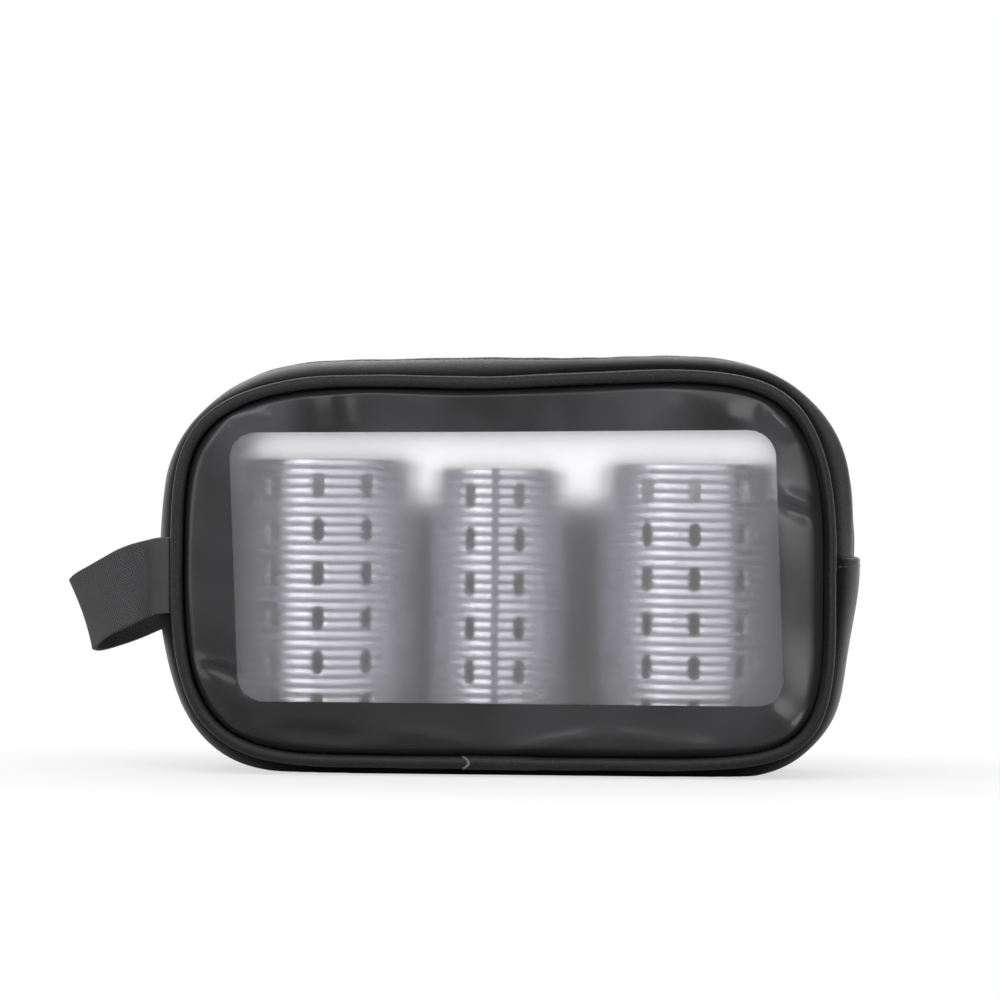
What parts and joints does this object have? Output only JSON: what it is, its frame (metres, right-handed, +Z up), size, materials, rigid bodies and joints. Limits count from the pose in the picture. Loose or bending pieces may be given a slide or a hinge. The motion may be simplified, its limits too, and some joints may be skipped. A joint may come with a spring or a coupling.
{
  "type": "self-grip hair roller set in a zip pouch",
  "caption": "Black zip pouch with frosted windows, piping and a webbing wrist loop, holding upright vented self-grip thermal hair rollers with hook sleeves.",
  "frame": {"origin": "middle of the flat base that the pouch stands on", "axes": "+X to the right as the front is seen, +Y to the back, +Z up"},
  "size_m": [0.2091, 0.054, 0.1089],
  "materials": {
    "leatherette": "fine grain, satin",
    "printed_border": "smooth, soft sheen",
    "frosted_sheet": "frosted",
    "webbing": "woven",
    "lining": "plain woven",
    "zip_tape": "woven",
    "zip_coil": "satin",
    "dark_metal": "satin",
    "barrel_metal": "bright",
    "hooks": "hook pile"
  },
  "bodies": {
    "pouch": {"front_frame": "printed_border", "back_frame": "printed_border", "front_window": "frosted_sheet", "back_window": "frosted_sheet", "front_piping": "leatherette", "back_piping": "leatherette", "seam_tape_front": "zip_tape", "seam_tape_back": "zip_tape", "inner_pocket": "lining", "lower_gusset": "leatherette", "zip_facing_front": "leatherette", "zip_facing_back": "leatherette", "zip_tape_front": "zip_tape", "zip_tape_back": "zip_tape", "zip_coil_front": "zip_coil", "zip_coil_back": "zip_coil", "zip_stop_left": "dark_metal", "zip_stop_right": "dark_metal", "strap_root_front": "webbing", "strap_root_back": "webbing"},
    "slider": {"zip_slider": "dark_metal"},
    "pull": {"zip_pull": "dark_metal"},
    "strap": {"wrist_strap": "webbing"},
    "roller_left": {"roller_left_barrel": "barrel_metal", "roller_left_sleeve": "hooks"},
    "roller_middle": {"roller_middle_barrel": "barrel_metal", "roller_middle_sleeve": "hooks"},
    "roller_right": {"roller_right_barrel": "barrel_metal", "roller_right_sleeve": "hooks"}
  },
  "joints": [
    {"name": "zip_slide", "type": "slide", "parent": "pouch", "child": "slider", "axis": [1, 0, 0], "range_m": [0, 0.076]},
    {"name": "pull_turn", "type": "hinge", "parent": "slider", "child": "pull", "pos_m": [-0.038, 0, 0.10694], "axis": [0, -1, 0], "range_deg": [0, 170]},
    {"name": "strap_swing", "type": "hinge", "parent": "pouch", "child": "strap", "pos_m": [-0.0968, 0, 0.049], "axis": [0, 1, 0], "range_deg": [0, 30]},
    {"name": "roller_left_lift", "type": "slide", "parent": "pouch", "child": "roller_left", "axis": [0, 0, 1], "range_m": [0, 0.012]},
    {"name": "roller_middle_lift", "type": "slide", "parent": "pouch", "child": "roller_middle", "axis": [0, 0, 1], "range_m": [0, 0.012]},
    {"name": "roller_right_lift", "type": "slide", "parent": "pouch", "child": "roller_right", "axis": [0, 0, 1], "range_m": [0, 0.012]}
  ]
}
